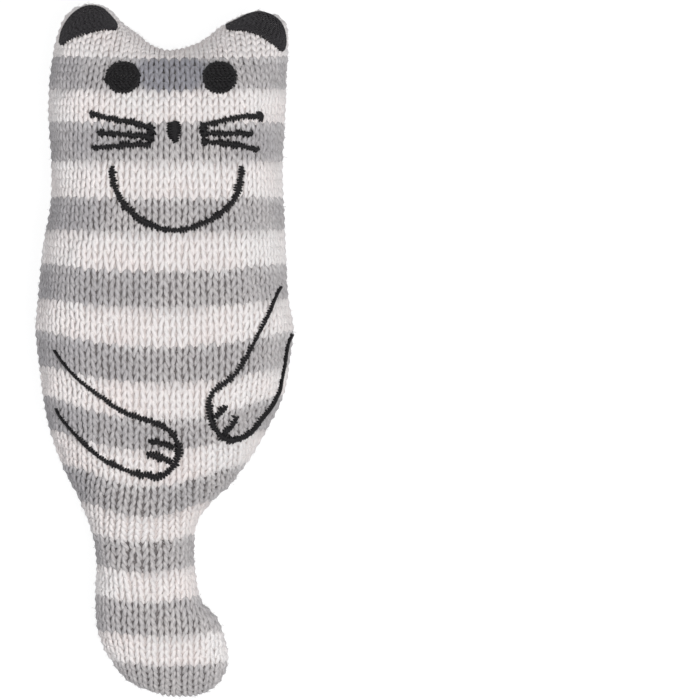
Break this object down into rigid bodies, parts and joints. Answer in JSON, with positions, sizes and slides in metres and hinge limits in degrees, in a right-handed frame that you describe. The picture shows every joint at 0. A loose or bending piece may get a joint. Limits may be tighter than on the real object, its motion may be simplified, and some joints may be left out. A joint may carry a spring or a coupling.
{
  "type": "catnip toy",
  "caption": "Flat-lying stuffed cat-shaped catnip toy of striped knit, with embroidered face and paws and a thick tail.",
  "frame": {"origin": "under the middle of the toy, on the surface that it lies on", "axes": "+Z out of the face, +Y from the tail towards the ears, +X across the toy to the right of someone who looks at its face"},
  "size_m": [0.0564, 0.15, 0.0305],
  "materials": {
    "striped_knit": "white and grey striped plain knit of two-ply acrylic yarn, slightly fuzzy",
    "black_embroidery": "dense satin stitch of black rayon thread, soft sheen",
    "sewing_thread": "off-white polyester sewing thread",
    "fibre_filling": "white polyester fibre filling",
    "muslin": "unbleached cotton muslin",
    "dried_catnip": "dried chopped catnip leaf"
  },
  "bodies": {
    "root": {"front_panel": "striped_knit", "back_panel": "striped_knit", "head_filling": "fibre_filling", "body_filling": "fibre_filling", "tail_filling": "fibre_filling", "seam_thread": "sewing_thread", "closing_thread": "sewing_thread", "catnip_pouch": "muslin", "pouch_tie": "sewing_thread", "catnip_herb": "dried_catnip", "left_ear_patch": "black_embroidery", "right_ear_patch": "black_embroidery", "left_eye": "black_embroidery", "right_eye": "black_embroidery", "nose": "black_embroidery", "left_whisker_upper": "black_embroidery", "left_whisker_middle": "black_embroidery", "left_whisker_lower": "black_embroidery", "right_whisker_upper": "black_embroidery", "right_whisker_middle": "black_embroidery", "right_whisker_lower": "black_embroidery", "smile": "black_embroidery", "left_arm_outline": "black_embroidery", "right_arm_outline": "black_embroidery", "left_toe_upper": "black_embroidery", "left_toe_lower": "black_embroidery", "right_toe_upper": "black_embroidery", "right_toe_lower": "black_embroidery"}
  },
  "joints": []
}
